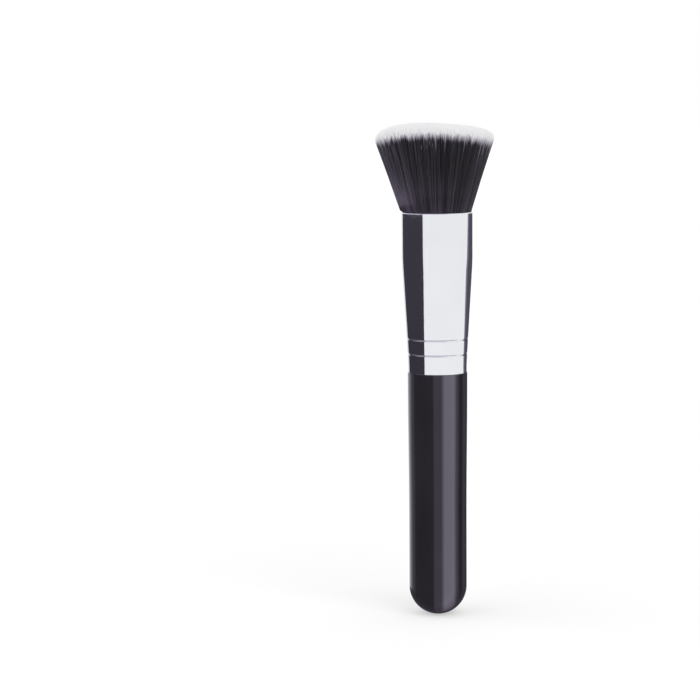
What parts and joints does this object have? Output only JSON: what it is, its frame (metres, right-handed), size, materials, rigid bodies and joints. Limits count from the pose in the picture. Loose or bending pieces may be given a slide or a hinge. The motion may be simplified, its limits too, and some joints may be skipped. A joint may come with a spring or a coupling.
{
  "type": "flat-top foundation brush",
  "caption": "Make-up brush with a black lacquered round-butt handle, a flared polished metal ferrule with rolled grooves, and a dense flared flat-top head of dark bristles with white tips.",
  "frame": {"origin": "lowest point of the rounded butt, on the handle's axis", "axes": "+Z runs along the brush from the butt to the bristle tips; +X is to the right in the picture and +Y points away from the camera"},
  "size_m": [0.0381, 0.0382, 0.1603],
  "materials": {
    "wood": "matte",
    "lacquer": "gloss",
    "glue": "satin",
    "ferrule": "polished",
    "resin": "gloss",
    "thread": "matte",
    "bristle": "satin",
    "bristle_tip": "satin"
  },
  "bodies": {
    "root": {"handle_core": "wood", "handle_lacquer": "lacquer", "tenon_glue": "glue", "ferrule": "ferrule", "root_resin": "resin", "binding_thread": "thread", "bristles": "bristle"}
  },
  "joints": []
}
